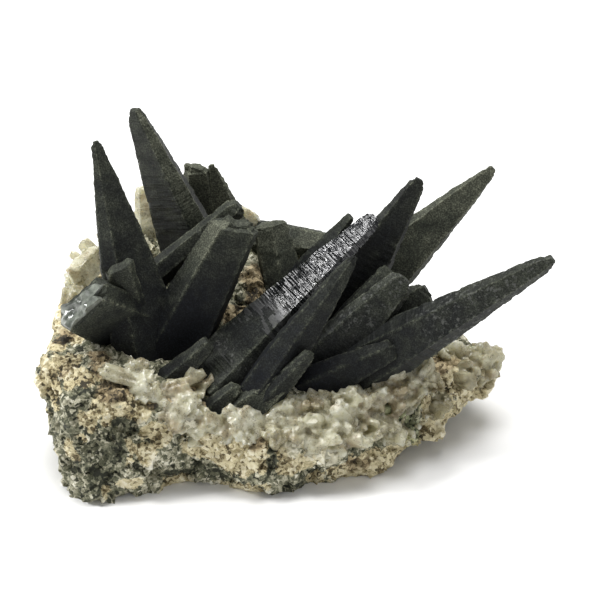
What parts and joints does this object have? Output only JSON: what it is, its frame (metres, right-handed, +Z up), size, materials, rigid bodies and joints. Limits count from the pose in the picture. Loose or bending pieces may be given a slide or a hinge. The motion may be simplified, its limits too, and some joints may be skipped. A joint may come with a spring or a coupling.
{
  "type": "chlorite quartz cluster",
  "caption": "Natural crystal cluster: two sprays of dark, steeply tapered quartz crystals on a flat-based slab of speckled gneiss with a pale crystal crust.",
  "frame": {"origin": "on the flat underside that the slab rests on, near the middle of the whole cluster in plan", "axes": "+Z up, out of the underside; +X along the cluster's length, towards the low spray of long blades; +Y towards the raised back rim"},
  "size_m": [0.0995, 0.0599, 0.0636],
  "materials": {
    "chlorite_quartz": "dark green-black, satin, glossy where the fine cross striations catch the light",
    "gneiss": "rough, grey-green with cream and white specks, brown stains",
    "pale_quartz": "pale, milky, slightly translucent, glassy"
  },
  "bodies": {
    "root": {"matrix_rock": "gneiss", "left_spray": "chlorite_quartz", "leaning_rod": "chlorite_quartz", "tall_blade": "chlorite_quartz", "back_pair": "chlorite_quartz", "stout_crystal": "chlorite_quartz", "back_rod": "chlorite_quartz", "low_rod": "chlorite_quartz", "front_group": "chlorite_quartz", "shiny_blade": "chlorite_quartz", "hidden_blade": "chlorite_quartz", "right_fan": "chlorite_quartz", "steep_blade": "chlorite_quartz", "long_blade": "chlorite_quartz", "pale_plate": "pale_quartz", "pale_spike": "pale_quartz", "pale_stub": "pale_quartz"}
  },
  "joints": []
}
